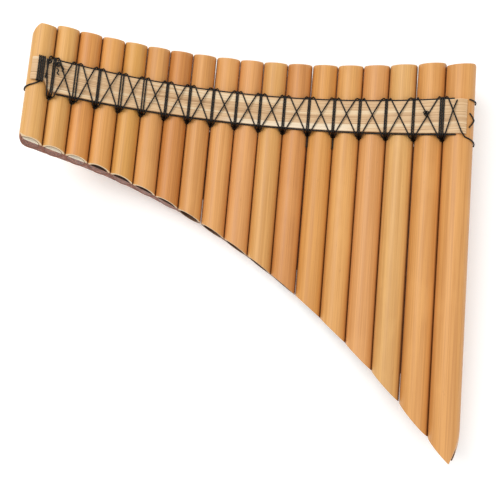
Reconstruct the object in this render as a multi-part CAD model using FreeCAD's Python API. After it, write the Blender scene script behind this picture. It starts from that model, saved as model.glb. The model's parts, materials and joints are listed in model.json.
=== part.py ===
import FreeCAD, Part
import math
import os

# Curved pan flute of eighteen bamboo tubes, bound with a slat and waxed thread on each side.
# All sizes are in millimetres.
#
# The flute is built in its own frame: tubes run along Y with their mouths at y = 0, X goes from the
# short tubes to the long ones, and Z goes out of the hollow side of the bend. It is then laid on its
# back as it rests on a table, +Z up, with the origin under the middle of its outline.

os.makedirs("parts", exist_ok=True)

# ---------------------------------------------------------------- driving dimensions

TUBE_COUNT = 18
SHORT_TUBE_DIAMETER = 14.9
LONG_TUBE_EXTRA_DIAMETER = 4.3     # the longest tube is this much thicker than the shortest
TUBE_SPACING = 0.06                # between neighbouring tubes, filled by the glue at the back
OPEN_GAP = 0.45                    # between the few tubes that do not quite touch
OPEN_GAP_NUMBERS = (8, 12, 16)
WALL = 2.4
MOUTH_ROUND = 1.5
MOUTH_INNER_CHAMFER = 0.4
OUTER_MOUTH_DROPS = (2.0, 2.2)      # of the first and last mouths below the others
LIP_SLOPE = math.radians(14)       # of the near half of each mouth, down towards the hollow side

BEND_RADIUS = 316.0                # of the line through the tube axes
ROW_TURN = math.radians(-6.0)      # about Y, as the flute lies when its weight is balanced

# How far below the mouths the lower cut runs, at even steps along the row.
CUT_DEPTHS = (81.5, 95.0, 119.5, 157.0, 207.0, 268.0)
LAST_TUBE_CUT_SLOPE = 0.95
CUT_LEAN = math.radians(14.0)      # the cut leaves the backs of the shortest tubes longer
CUT_LEAN_GONE_AT = 0.42            # share of the row from which the cut is square
OUTER_SHOULDER_RADIUS = 9.0        # rounding of the first tube's outer corner, at the mouth
OUTER_HEEL_RADIUS = 6.0            # and at its lower end
HEEL_DROP = 1.0                    # of the rounding below the cut at the tube's outer side
TIP_ROUND_RADIUS = 61.0            # long easing of the last tube's outer edge
TIP_ROUND_START = 239.0

LOWEST_NOTE = 392.0                # Hz, of the longest tube
SCALE_STEPS = (2, 2, 1, 2, 2, 2, 1)
SPEED_OF_SOUND = 343000.0          # mm/s
END_CORRECTION = 0.6               # of the bore radius

STOPPER_LENGTH = 14.0
STOPPER_TRAVEL = 3.0               # either way from the tuned place
STOPPER_CLEARANCE = 0.04
STOPPER_CHAMFER = 0.8
SEAT_STEP = 0.35                   # the bore below the shoulder is this much wider in radius
SHOULDER_MARGIN = 0.5

SLAT_THICKNESS = 2.2
SLAT_END_THICKNESS = 1.3
SLAT_SEAT = 0.08                   # between the slat and the tube crests
SLAT_TOP_AT_SHORT_END = 27.5       # below the mouths
SLAT_TOP_FALL = 2.4                # how much lower it is at the long end
SLAT_MIN_HEIGHT = 20.4
SLAT_FLARE = 9.0                   # the slat gets taller towards both ends
SLAT_NARROWEST_AT = 0.42
SLAT_OVERHANG = 6.4                # past the axis of the first and last tube
SLAT_HUG = 1.5                     # how closely the slat's ends follow the outer tubes
SLAT_HUG_START = 2.4               # past the axis of the first and last tube
HEEL_NOTCH = 6.5                   # the front slat's first end is this much narrower
BACK_SLAT_INSET = 1.0              # the back slat is narrower at both edges

CORD_RADIUS = 0.55
CORD_GAP = 0.05
CORD_BEND = 1.2
BACK_CORD_SLACK = 0.3              # between the back slat's edges and the cords along them
PASSAGE_HALF_WIDTH = 1.72
PASSAGE_HEIGHT = 2.6
PASSAGE_MARGIN = 1.02              # between a slat's edge and the passage beside it
ROW_CLEARANCE = 0.08               # between a passage's edge and the first cord in it
WRAP_COUNTS = (2,) * 16 + (3,)
SPREAD_WRAP_GAPS = (2, 4, 5)        # gaps whose turns stand a little apart
WRAP_SPREAD = 0.55
PAIR_SHIFT = -0.03                 # of each pair of turns from its gap's line, towards the short tubes
CROSS_TOP_OFFSET = 3.2             # of a crossing cord from the gap, at the slat's upper edge
CROSS_BOTTOM_OFFSET = 2.5
TUCK_OFFSET = 2.3                  # where it turns down towards the passage
CORD_LIFT = 1.2                    # between the middles of two cords that cross
NARROW_CORD_LIFT = 1.85            # where they cross at a small angle
WHIPPING_TURNS = 4
WHIPPING_CENTRE = -0.8             # from the first tube's axis
WHIPPING_RELIEF = 1.3
END_TIE_OFFSET = 3.3               # of the first end's cross from the whipping
END_TIE_INSET = 1.6
END_TIE_DROP = 2.2                 # of the cord round the first tube, below the slat's notch
ROUND_TUBE_SLACK = 0.6             # lets a cord's straight steps clear the tube it goes round
LAST_FALL = 13.0                   # the last cross's ends, across from the last gap
LAST_RISE = 9.5
CROSS_BEND = 0.9
TIE_BEND = 2.0
KNOT_CORD_RADIUS = 0.38
KNOT_SIZE = 0.60
KNOT_RISE = 0.72                   # half the height between strands that pass over each other
KNOT_OPENING = 0.25                # radians of the knot's curve left out between its two ends
KNOT_STEPS = 28
TAIL_GAP_NUMBERS = (12, 13)
TAIL_LENGTH = 8.0
TAIL_OUT = 4.0                     # of a tail from the line where its two tubes touch

GLUE_DEPTH = 5.0                   # how far towards the tube backs the glue beads reach
GLUE_FRONT = 0.8                   # how far behind the line where the tubes touch they start
SEAL_DEPTH = 7.1
SEAL_HALF_WIDTH = 4.6
SEAL_LENGTH = 12.0
SEALED_GAPS = 6
FILLED_ENDS = 7                    # lower ends with filler over the rear half of the bore
FILL_FRONT = 1.2                   # how far in front of its tube's axis a filling starts
FILL_LENGTH = 4.5
GLUE_CLEARANCE = 0.02
OPEN_SLIT_LENGTH = 18.0            # left free of glue at the lower end of an open gap

# ---------------------------------------------------------------- the row of tubes


def vector(x, y, z):
    return FreeCAD.Vector(x, y, z)


def diameter(index):
    share = index / (TUBE_COUNT - 1)
    return SHORT_TUBE_DIAMETER + LONG_TUBE_EXTRA_DIAMETER * share


def tube_stations():
    """Places along the row of each tube's axis and of each gap between tubes, from the middle."""
    centres = []
    gaps = []
    place = 0.0
    for index in range(TUBE_COUNT):
        centres.append(place + diameter(index) / 2)
        place += diameter(index)
        if index < TUBE_COUNT - 1:
            spacing = OPEN_GAP if index + 1 in OPEN_GAP_NUMBERS else TUBE_SPACING
            gaps.append(place + spacing / 2)
            place += spacing
    half = place / 2
    return [c - half for c in centres], [g - half for g in gaps], place


CENTRES, GAPS, ROW_LENGTH = tube_stations()


def heading(place):
    return ROW_TURN + place / BEND_RADIUS


def row_point(place):
    """Point on the bent line through the tube axes."""
    x = BEND_RADIUS * (math.sin(heading(place)) - math.sin(ROW_TURN))
    z = BEND_RADIUS * (math.cos(ROW_TURN) - math.cos(heading(place)))
    return x, z


def at(place, out, y):
    """Point at a place along the row, a distance out of the hollow side, and a height y."""
    x, z = row_point(place)
    angle = heading(place)
    return vector(x - math.sin(angle) * out, y, z + math.cos(angle) * out)


def along(place):
    return vector(math.cos(heading(place)), 0, math.sin(heading(place)))


def outward(place):
    return vector(-math.sin(heading(place)), 0, math.cos(heading(place)))


def share_of_row(place):
    return min(1.0, max(0.0, place / ROW_LENGTH + 0.5))


def smooth_value(values, share):
    """A smooth curve through evenly spaced values, read at a share of the way along."""
    ends = [2 * values[0] - values[1]] + list(values) + [2 * values[-1] - values[-2]]
    last = len(values) - 2
    number = min(last, int(share * (len(values) - 1)))
    t = share * (len(values) - 1) - number
    a, b, c, d = ends[number:number + 4]
    linear = (c - a) * t
    square = (2 * a - 5 * b + 4 * c - d) * t**2
    cube = (3 * b - a - 3 * c + d) * t**3
    return (2 * b + linear + square + cube) / 2


def cut_depth(place):
    """How far below the mouths the lower cut is, at a place along the row."""
    if place <= GAPS[-1]:
        return smooth_value(CUT_DEPTHS, share_of_row(place))
    return smooth_value(CUT_DEPTHS, share_of_row(GAPS[-1])) + LAST_TUBE_CUT_SLOPE * (place - GAPS[-1])


def crest(place):
    """Distance from the row line to the line that touches the tubes, at a place along the row."""
    if place <= CENTRES[0]:
        return diameter(0) / 2
    if place >= CENTRES[-1]:
        return diameter(TUBE_COUNT - 1) / 2
    for index in range(TUBE_COUNT - 1):
        if place <= CENTRES[index + 1]:
            share = (place - CENTRES[index]) / (CENTRES[index + 1] - CENTRES[index])
            return (diameter(index) * (1 - share) + diameter(index + 1) * share) / 2


def block(place, out_range, across_range, y_range):
    """Box square to the row at a place: across it, up it and out of it."""
    corner = at(place, out_range[0], y_range[0]) + along(place) * across_range[0]
    box = Part.makeBox(
        across_range[1] - across_range[0], y_range[1] - y_range[0], out_range[1] - out_range[0]
    )
    turn = FreeCAD.Rotation(vector(0, 1, 0), -math.degrees(heading(place)))
    box.Placement = FreeCAD.Placement(corner, turn)
    return box


def below_plane(point, first, second, size):
    """Block whose upper face is the plane through a point along two directions."""
    normal = first.cross(second)
    if normal.y > 0:
        normal = normal * -1
    turn = FreeCAD.Rotation(vector(0, 0, 1), normal)
    box = Part.makeBox(size, size, size, vector(-size / 2, -size / 2, 0))
    box.Placement = FreeCAD.Placement(point, turn)
    return box


def cut_lean(place):
    """How far the lower cut leans, so that the tubes' backs are longer than their fronts."""
    return CUT_LEAN * max(0.0, 1.0 - share_of_row(place) / CUT_LEAN_GONE_AT)


def lower_cutter(place, left, right):
    """Everything below the lower cut, for the tube or glue between two places along the row."""
    slope = (cut_depth(right) - cut_depth(left)) / (right - left)
    lean = cut_lean(place)
    depth = cut_depth(left) + slope * (place - left)
    sideways = along(place) + vector(0, -slope, 0)
    frontways = outward(place) + vector(0, math.tan(lean), 0)
    return below_plane(at(place, 0, -depth), sideways, frontways, 160)


# ---------------------------------------------------------------- tubes and stoppers


def column_length(index):
    """Length of the sounding air column, from the note the tube plays."""
    steps = sum(SCALE_STEPS[n % len(SCALE_STEPS)] for n in range(TUBE_COUNT - 1 - index))
    note = LOWEST_NOTE * 2 ** (steps / 12)
    return SPEED_OF_SOUND / (4 * note) - END_CORRECTION * bore_radius(index)


def bore_radius(index):
    return diameter(index) / 2 - WALL


def rounded_corner_cutter(place, edge, y, radius, sides):
    """What lies outside a rounded outer corner of a tube, seen from the front."""
    across, up = sides
    centre = (edge - across * radius, y - up * radius)
    outer = (edge + across, y + up)
    across_range = sorted((centre[0], outer[0]))
    y_range = sorted((centre[1], outer[1]))
    corner = block(place, (-20, 20), across_range, y_range)
    axis_start = at(place, -20, centre[1]) + along(place) * centre[0]
    return corner.cut(Part.makeCylinder(radius, 40, axis_start, outward(place)))


def passage_centre(place, side):
    """Height of the hole for the cords beside the slat's upper (1) or lower (-1) edge."""
    edge = slat_top(place) if side > 0 else slat_bottom(place)
    return edge + side * (PASSAGE_MARGIN + PASSAGE_HEIGHT / 2)


def passage(place, side):
    middle = passage_centre(place, side)
    half = PASSAGE_HEIGHT / 2
    across = (-PASSAGE_HALF_WIDTH, PASSAGE_HALF_WIDTH)
    return block(place, (-9, 9), across, (middle - half, middle + half))


def mouth_height(index):
    if index == 0:
        return -OUTER_MOUTH_DROPS[0]
    if index == TUBE_COUNT - 1:
        return -OUTER_MOUTH_DROPS[1]
    return 0.0


def lip_cutter(place, radius, y):
    """What is sanded off the near half of a mouth, where it slopes down to the hollow side."""
    reach = radius + 2
    corners = [(0, y), (reach, y - reach * math.tan(LIP_SLOPE)), (reach, y + 5), (0, y + 5)]
    points = [at(place, out, y) - along(place) * reach for out, y in corners]
    side = Part.Face(Part.makePolygon(points + points[:1]))
    return side.extrude(along(place) * 2 * reach)


def heel_cutter():
    """What is rounded off the outer lower corner of the first tube, leaning as the cut does."""
    place = CENTRES[0]
    edge = -diameter(0) / 2
    reach = 20
    lean = cut_lean(place)
    frontways = outward(place) + vector(0, math.tan(lean), 0)
    low = -cut_depth(place + edge) - HEEL_DROP
    high = low + OUTER_HEEL_RADIUS
    inner = edge + OUTER_HEEL_RADIUS
    corners = [(edge - 2, high), (edge - 2, low - 3), (inner, low - 3), (inner, high)]
    points = [beside(place, across, 0, y) - frontways * reach for across, y in corners]
    corner = Part.Face(Part.makePolygon(points + points[:1])).extrude(frontways * 2 * reach)
    axis_start = beside(place, inner, 0, high) - frontways * reach
    length = 2 * reach * frontways.Length
    return corner.cut(Part.makeCylinder(OUTER_HEEL_RADIUS, length, axis_start, frontways))


def make_tube(index):
    place = CENTRES[index]
    radius = diameter(index) / 2
    left = place - radius
    right = place + radius
    length = cut_depth(right) + 2 * radius
    x, z = row_point(place)
    top = mouth_height(index)
    tube = Part.makeCylinder(radius, length, vector(x, top, z), vector(0, -1, 0))
    mouth = [edge for edge in tube.Edges if edge.BoundBox.YMin > top - 0.01]
    tube = tube.makeFillet(MOUTH_ROUND, mouth)
    bore = bore_radius(index)
    shoulder = column_length(index) - STOPPER_TRAVEL - SHOULDER_MARGIN
    hollow = Part.makeCylinder(bore, shoulder + 1, vector(x, top + 1, z), vector(0, -1, 0))
    seat = Part.makeCylinder(bore + SEAT_STEP, length, vector(x, top - shoulder, z), vector(0, -1, 0))
    lip = Part.makeCone(
        bore + MOUTH_INNER_CHAMFER, bore, MOUTH_INNER_CHAMFER, vector(x, top, z), vector(0, -1, 0)
    )
    tube = tube.cut([hollow, seat, lip, lip_cutter(place, radius, top), lower_cutter(place, left, right)])
    holes = [passage(gap, side) for gap in GAPS if left - 1 < gap < right + 1 for side in (1, -1)]
    tube = tube.cut(holes)
    if index == 0:
        shoulder_cut = rounded_corner_cutter(place, -radius, top, OUTER_SHOULDER_RADIUS, (-1, 1))
        tube = tube.cut([shoulder_cut, heel_cutter()])
    if index == TUBE_COUNT - 1:
        low = -TIP_ROUND_START - TIP_ROUND_RADIUS
        tube = tube.cut(rounded_corner_cutter(place, radius, low, TIP_ROUND_RADIUS, (1, -1)))
    return tube


def make_stopper(index):
    radius = bore_radius(index) + SEAT_STEP - STOPPER_CLEARANCE
    x, z = row_point(CENTRES[index])
    top = vector(x, mouth_height(index) - column_length(index), z)
    stopper = Part.makeCylinder(radius, STOPPER_LENGTH, top, vector(0, -1, 0))
    rims = [edge for edge in stopper.Edges if edge.BoundBox.YLength < 0.01]
    return stopper.makeChamfer(STOPPER_CHAMFER, rims)


# ---------------------------------------------------------------- slats


def slat_top(place):
    return -(SLAT_TOP_AT_SHORT_END + SLAT_TOP_FALL * share_of_row(place))


def slat_bottom(place):
    flare = SLAT_FLARE * (share_of_row(place) - SLAT_NARROWEST_AT) ** 2
    return slat_top(place) - SLAT_MIN_HEIGHT - flare


def past_end(place):
    """How far a place lies beyond where the slat starts to follow the outer tubes."""
    return max(CENTRES[0] - place - SLAT_HUG_START, place - CENTRES[-1] - SLAT_HUG_START, 0)


def hug(place):
    """How far the slat's ends drop back round the outer tubes."""
    past = past_end(place)
    radius = crest(place)
    return SLAT_HUG * (radius - math.sqrt(radius**2 - past**2))


def slat_places():
    ends = [SLAT_OVERHANG * share for share in (1.0, 0.8, 0.6, 0.37)]
    places = [CENTRES[0] - past for past in ends]
    places += sorted(CENTRES + GAPS)
    places += [CENTRES[-1] + past for past in reversed(ends)]
    return places


def slat_thickness(place):
    thinning = past_end(place) / (SLAT_OVERHANG - SLAT_HUG_START)
    return SLAT_THICKNESS - (SLAT_THICKNESS - SLAT_END_THICKNESS) * thinning


def slat_inner(place, side):
    return side * (crest(place) + SLAT_SEAT - hug(place))


def slat_outer(place, side):
    return slat_inner(place, side) + side * slat_thickness(place)


def curve_through(points):
    curve = Part.BSplineCurve()
    curve.interpolate(points)
    return curve.toShape()


def make_slat(side, inset):
    places = slat_places()
    floor = -80
    inner = [at(place, slat_inner(place, side), floor) for place in places]
    outer = [at(place, slat_outer(place, side), floor) for place in places]
    edges = [
        curve_through(inner),
        Part.makeLine(inner[-1], outer[-1]),
        curve_through(outer),
        Part.makeLine(outer[0], inner[0]),
    ]
    face = Part.Face(Part.Wire(Part.__sortEdges__(edges)))
    ribbon = face.extrude(vector(0, 80, 0))
    middles = [row_point(place)[0] for place in places]
    middles[0] -= 10
    middles[-1] += 10
    low = -120
    upper = [vector(x, slat_top(place) - inset, low) for x, place in zip(middles, places)]
    lower = [vector(x, slat_bottom(place) + inset, low) for x, place in zip(middles, places)]
    edges = [
        curve_through(upper),
        Part.makeLine(upper[-1], lower[-1]),
        curve_through(lower),
        Part.makeLine(lower[0], upper[0]),
    ]
    outline = Part.Face(Part.Wire(Part.__sortEdges__(edges)))
    return ribbon.common(outline.extrude(vector(0, 0, 300)))


def make_front_slat():
    """The front slat with its lower left corner cut away and a flat for the whipping."""
    slat = make_slat(1, 0)
    first = CENTRES[0]
    bottom = slat_bottom(first)
    end = WHIPPING_CENTRE + 3.2
    corners = [
        (end + HEEL_NOTCH * 0.75, bottom - 1),
        (end, bottom + HEEL_NOTCH),
        (-25, bottom + HEEL_NOTCH),
        (-25, bottom - 8),
        (end + HEEL_NOTCH * 0.75, bottom - 8),
    ]
    notch_points = [beside(first, across, -30, y) for across, y in corners]
    notch = Part.Face(Part.makePolygon(notch_points + notch_points[:1]))
    slat = slat.cut(notch.extrude(outward(first) * 70))
    half = (WHIPPING_TURNS * (2 * CORD_RADIUS + CORD_GAP) + 0.4) / 2
    centre = first + WHIPPING_CENTRE
    low = crest(first) - 4
    high = crest(first) + SLAT_SEAT + WHIPPING_RELIEF
    relief = block(first, (low, high), (centre - half - first, centre + half - first), (-80, 0))
    return slat.cut(relief)


# ---------------------------------------------------------------- cords


def cord(points, bend=CORD_BEND):
    """Round cord through the points, with a rounded bend at each inner point."""
    edges = []
    start = points[0]
    for before, corner, after in zip(points, points[1:], points[2:]):
        back = (before - corner).normalize()
        onward = (after - corner).normalize()
        half = back.getAngle(onward) / 2
        trim = bend / math.tan(half)
        inward = (back + onward).normalize()
        middle = corner + inward * (bend / math.sin(half) - bend)
        first = corner + back * trim
        last = corner + onward * trim
        edges.append(Part.makeLine(start, first))
        edges.append(Part.Arc(first, middle, last).toShape())
        start = last
    edges.append(Part.makeLine(start, points[-1]))
    path = Part.Wire(edges)
    profile = Part.Wire(Part.makeCircle(CORD_RADIUS, points[0], points[1] - points[0]))
    return path.makePipeShell([profile], True, False)


def cord_out(place, side):
    """Distance out to the middle of a cord that lies on a slat's face."""
    return slat_outer(place, side) + side * (CORD_RADIUS + CORD_GAP)


def beside(gap, across, out, y):
    """Point at a distance across from a gap, square to the row at that gap."""
    return at(gap, out, y) + along(gap) * across


def first_row(place, side):
    """Height at which the wraps go through a passage."""
    edge = slat_top(place) if side > 0 else slat_bottom(place)
    return edge + side * (PASSAGE_MARGIN + CORD_RADIUS + ROW_CLEARANCE)


def second_row(place, side):
    return first_row(place, side) + side * (2 * CORD_RADIUS + CORD_GAP)


def make_wrap(gap, across):
    """One closed turn round both slats, through the passages above and below."""
    front = cord_out(gap, 1)
    back = cord_out(gap, -1)
    top = first_row(gap, 1)
    bottom = first_row(gap, -1)
    middle = (top + bottom) / 2
    corners = [
        (back, middle + CORD_GAP),
        (back, top),
        (front, top),
        (front, bottom),
        (back, bottom),
        (back, middle - CORD_GAP),
    ]
    return cord([beside(gap, across, out, y) for out, y in corners])


def make_gap_wraps():
    turns = []
    pitch = 2 * CORD_RADIUS + CORD_GAP
    for gap_number, (gap, count) in enumerate(zip(GAPS, WRAP_COUNTS), start=1):
        spread = WRAP_SPREAD if gap_number in SPREAD_WRAP_GAPS else 0
        shift = PAIR_SHIFT if count == 2 else 0
        for number in range(count):
            turns.append(make_wrap(gap, shift + (number - (count - 1) / 2) * (pitch + spread)))
    return turns


def tuck(gap, turn, side):
    """Points that take a crossing cord from the slat's edge down into a passage."""
    row = second_row(gap, side)
    edge = slat_top(gap) if side > 0 else slat_bottom(gap)
    offset = CROSS_TOP_OFFSET if side > 0 else CROSS_BOTTOM_OFFSET
    front = cord_out(gap, 1)
    inner = turn * (PASSAGE_HALF_WIDTH - CORD_RADIUS - CORD_GAP) * 0.55
    return [
        beside(gap, turn * offset, front, edge + side * 1.1),
        beside(gap, turn * TUCK_OFFSET, front - 1.9, row - side * 0.25),
        beside(gap, inner, 5.0, row),
        beside(gap, inner, 0.3, row),
    ]


def make_cross(left, right, lift_first):
    """The two crossing cords over one tube, between the gaps on its left and right."""
    crossing_cords = []
    for falling in (True, False):
        start = tuck(left, 1, 1) if falling else tuck(right, -1, 1)
        end = tuck(right, -1, -1) if falling else tuck(left, 1, -1)
        points = list(reversed(start))
        if falling == lift_first:
            under = (tuck(right, -1, 1)[0], tuck(left, 1, -1)[0])
            if not falling:
                under = (tuck(left, 1, 1)[0], tuck(right, -1, -1)[0])
            points.append(over(start[0], end[0], under, (left + right) / 2, CORD_LIFT))
        points += end
        crossing_cords.append(cord(points, CROSS_BEND))
    return crossing_cords


def over(start, end, under, place, lift):
    """Where a cord from start to end rides over the cord that runs between the two points under it."""
    run = Part.makeLine(start, end)
    lower = Part.makeLine(under[0], under[1])
    nearest = run.distToShape(lower)[1][0][1]
    return nearest + outward(place) * lift


def make_cross_lashing():
    cords = []
    for left, right in zip(GAPS, GAPS[1:]):
        cords += make_cross(left, right, right == GAPS[-1])
    return cords


def edge_height(place, side, inset):
    edge = slat_top(place) - inset if side > 0 else slat_bottom(place) + inset
    return edge + side * (CORD_RADIUS + CORD_GAP)


def edge_out(place, side):
    return side * (crest(place) + CORD_RADIUS + CORD_GAP)


def edge_cord(places, side, face, inset=0.0):
    """Cord along a slat's upper (1) or lower (-1) edge, on the front (1) or back (-1) of the row."""
    points = [at(place, edge_out(place, face), edge_height(place, side, inset)) for place in places]
    return cord(points, 8.0)


def make_front_edge_cords():
    first = GAPS[0] + 3.4
    top_end = CENTRES[-1] - 1.5
    top = edge_cord([GAPS[0] + 1.6] + CENTRES[1:-1] + [top_end], 1, 1)
    bottom = edge_cord([first] + CENTRES[2:-1] + [CENTRES[-1]], -1, 1)
    return [top, bottom]


def make_back_edge_cords():
    places = [CENTRES[0] + 2] + CENTRES[1:-1] + [CENTRES[-1] - 2]
    return [edge_cord(places, side, -1, BACK_SLAT_INSET - BACK_CORD_SLACK) for side in (1, -1)]


# ---------------------------------------------------------------- bindings at the two ends


def make_end_whipping():
    """Turns round the front slat's narrowed first end, side by side."""
    first = CENTRES[0]
    pitch = 2 * CORD_RADIUS + CORD_GAP
    front = cord_out(first, 1)
    back = crest(first) + SLAT_SEAT + CORD_RADIUS + CORD_GAP
    top = slat_top(first) + CORD_RADIUS + 2 * CORD_GAP
    bottom = slat_bottom(first) + HEEL_NOTCH - CORD_RADIUS - 2 * CORD_GAP
    middle = (top + bottom) / 2
    turns = []
    for number in range(WHIPPING_TURNS):
        across = WHIPPING_CENTRE + (number - (WHIPPING_TURNS - 1) / 2) * pitch
        corners = [
            (back, middle + CORD_GAP),
            (back, top),
            (front, top),
            (front, bottom),
            (back, bottom),
            (back, middle - CORD_GAP),
        ]
        turns.append(cord([beside(first, across, out, y) for out, y in corners], 0.7))
    return turns


def round_tube(index, angles, heights):
    """Points for a cord round a tube; angle 0 is its front and 90 the long-tube side."""
    place = CENTRES[index]
    radius = diameter(index) / 2 + CORD_RADIUS + ROUND_TUBE_SLACK
    points = []
    for angle, y in zip(angles, heights):
        turn = math.radians(angle)
        points.append(beside(place, math.sin(turn) * radius, math.cos(turn) * radius, y))
    return points


def make_first_end_ties():
    """The small cross between the whipping and the first gap, and the cord round the first tube."""
    first = CENTRES[0]
    gap = GAPS[0]
    across = WHIPPING_CENTRE + END_TIE_OFFSET
    front = cord_out(first, 1)
    upper = beside(first, across, front, slat_top(first) - END_TIE_INSET)
    lower = beside(first, across, front, slat_bottom(first) + HEEL_NOTCH + END_TIE_INSET)
    to_bottom = tuck(gap, -1, -1)
    to_top = tuck(gap, -1, 1)
    middle = first + across
    crest_point = over(lower, to_top[0], (upper, to_bottom[0]), middle, NARROW_CORD_LIFT)
    height = slat_bottom(first) + HEEL_NOTCH - END_TIE_DROP
    angles = (-5, -30, -60, -90, -115)
    heights = [height - 0.03 * abs(angle) for angle in angles]
    around = round_tube(0, angles, heights)
    return [
        cord([upper] + to_bottom, CROSS_BEND),
        cord([lower, crest_point] + to_top, CROSS_BEND),
        cord(around, TIE_BEND),
    ]


def make_last_end_ties():
    """The cross on the last tube and the cords that leave it round the tube's outer side."""
    gap = GAPS[-1]
    last = TUBE_COUNT - 1
    front = cord_out(gap, 1)
    top = slat_top(CENTRES[-1])
    bottom = slat_bottom(CENTRES[-1])
    from_top = tuck(gap, 1, 1)
    to_bottom = tuck(gap, 1, -1)
    fall_end = beside(gap, LAST_FALL, front + 0.6, bottom + 0.4)
    rise_start = beside(gap, LAST_RISE, front + 0.3, top - 0.8)
    middle = CENTRES[-1] - 3
    crest_point = over(rise_start, to_bottom[0], (from_top[0], fall_end), middle, NARROW_CORD_LIFT)
    heights = [bottom - drop for drop in (2.0, 3.2, 4.4, 5.2)]
    around = round_tube(last, (32, 60, 90, 115), heights)
    top_piece = round_tube(last, (44, 68, 92, 115), [top + 0.7] * 4)
    hook = round_tube(last, (48, 78, 48), (top - 8.5, top - 12.5, top - 18.5))
    return [
        cord(list(reversed(from_top)) + [fall_end] + around, CROSS_BEND),
        cord([rise_start, crest_point] + to_bottom, CROSS_BEND),
        cord(top_piece, TIE_BEND),
        cord(hook, CROSS_BEND),
    ]


def make_knot(gap, across, y, level):
    """Overhand knot lying on the slat, above a number of layers of cord."""
    rest = slat_outer(gap, 1) + level * (2 * CORD_RADIUS + CORD_GAP) + CORD_GAP
    middle = rest + KNOT_CORD_RADIUS + KNOT_RISE
    points = []
    for number in range(KNOT_STEPS + 1):
        turn = KNOT_OPENING + (2 * math.pi - 2 * KNOT_OPENING) * number / KNOT_STEPS
        side = KNOT_SIZE * (math.sin(turn) + 2 * math.sin(2 * turn))
        up = KNOT_SIZE * (math.cos(turn) - 2 * math.cos(2 * turn))
        rise = -KNOT_RISE * math.sin(3 * turn)
        points.append(beside(gap, across + side, middle + rise, y + up))
    path = Part.Wire([curve_through(points)])
    start = path.Edges[0].firstVertex().Point
    direction = path.Edges[0].tangentAt(path.Edges[0].FirstParameter)
    profile = Part.Wire(Part.makeCircle(KNOT_CORD_RADIUS, start, direction))
    return path.makePipeShell([profile], True, False)


def make_knots():
    first = CENTRES[0]
    last_full = CENTRES[-2]
    return [
        make_knot(first, 3.4, slat_top(first) - 2.8, 2.1),
        make_knot(GAPS[0], 2.2, slat_top(first) - 3.0, 1),
        make_knot(last_full, -0.7, slat_top(last_full) - 10.2, 2.2),
    ]


def make_cord_tails():
    """Short cut ends: two curly ones by the first gap's knot, and one down each of two grooves."""
    gap = GAPS[0]
    out = cord_out(gap, 1) + 2 * CORD_RADIUS + 2 * CORD_GAP
    top = slat_top(gap)
    curls = (
        ((1.4, -5.6), (3.0, -6.8), (2.2, -8.8), (3.6, -10.2)),
        ((4.7, -3.6), (6.0, -5.2), (5.0, -7.2)),
    )
    tails = []
    for curl in curls:
        points = [beside(gap, across, out, top + y) for across, y in curl]
        tails.append(cord(points, 0.7))
    for number in TAIL_GAP_NUMBERS:
        gap = GAPS[number - 1]
        start = slat_bottom(gap) - PASSAGE_MARGIN - PASSAGE_HEIGHT - 2 * CORD_GAP
        points = [(0, start), (0.1, start - TAIL_LENGTH * 0.6), (-0.1, start - TAIL_LENGTH)]
        tails.append(cord([beside(gap, across, TAIL_OUT, y) for across, y in points], CORD_BEND))
    return tails


def solid_of(shape):
    """A node is written as its bare solid, or as a group when it has several."""
    return shape[0] if len(shape) == 1 else Part.makeCompound(shape)


def make_glue():
    beads = []
    seals = []
    for number, gap in enumerate(GAPS, start=1):
        left = CENTRES[number - 1]
        right = CENTRES[number]
        low = -cut_depth(gap) - 20
        high = slat_bottom(gap) - 6
        cutters = [lower_cutter(gap, left, right)]
        for index in (number - 1, number):
            x, z = row_point(CENTRES[index])
            radius = diameter(index) / 2 + GLUE_CLEARANCE
            cutters.append(Part.makeCylinder(radius, 340, vector(x, 10, z), vector(0, -1, 0)))
        bead_low = low
        if number in OPEN_GAP_NUMBERS:
            bead_low = -cut_depth(gap) + OPEN_SLIT_LENGTH
        if number <= SEALED_GAPS:
            bead_low = -cut_depth(gap) + SEAL_LENGTH
            box = block(gap, (-SEAL_DEPTH, 0), (-SEAL_HALF_WIDTH, SEAL_HALF_WIDTH), (low, bead_low))
            seals += back_part(box.cut(cutters))
        box = block(gap, (-GLUE_DEPTH, -GLUE_FRONT), (-3, 3), (bead_low, high))
        beads += back_part(box.cut(cutters))
    return beads, seals


def make_end_fill(index):
    """Filler that closes the rear part of a tube's lower end, flush with the cut."""
    place = CENTRES[index]
    x, z = row_point(place)
    radius = bore_radius(index) + SEAT_STEP - GLUE_CLEARANCE
    depth = cut_depth(place)
    top = vector(x, FILL_LENGTH - depth, z)
    plug = Part.makeCylinder(radius, 2 * radius + FILL_LENGTH, top, vector(0, -1, 0))
    front = block(place, (FILL_FRONT, 2 * radius), (-radius - 1, radius + 1), (-depth - 30, -depth + 30))
    left = place - diameter(index) / 2
    right = place + diameter(index) / 2
    plug = plug.cut([front, lower_cutter(place, left, right)])
    return plug.cut(heel_cutter()) if index == 0 else plug


def back_part(shape):
    """The solids of a filling that lie behind the line where the tubes touch."""
    return [solid for solid in shape.Solids if solid.Volume > 0.5]


# ---------------------------------------------------------------- build and lay down


def lowest(points, pitch):
    """Lowest height that any of the points (y, z) has once the flute is pitched."""
    return min(y * math.sin(pitch) + z * math.cos(pitch) for y, z in points)


def rest_pitch():
    """Pitch at which the back wraps and the lower ends of the tubes touch the table together."""
    tube_ends = []
    for index, place in enumerate(CENTRES):
        tube_ends.append((-cut_depth(place), row_point(place)[1] - diameter(index) / 2))
    wrap_backs = []
    for gap in GAPS:
        back = row_point(gap)[1] - abs(cord_out(gap, -1)) - CORD_RADIUS
        wrap_backs.append((first_row(gap, -1), back))
    low = 0.0
    high = math.radians(10)
    while high - low > 1e-6:
        middle = (low + high) / 2
        if lowest(wrap_backs, middle) < lowest(tube_ends, middle):
            low = middle
        else:
            high = middle
    return low


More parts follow.
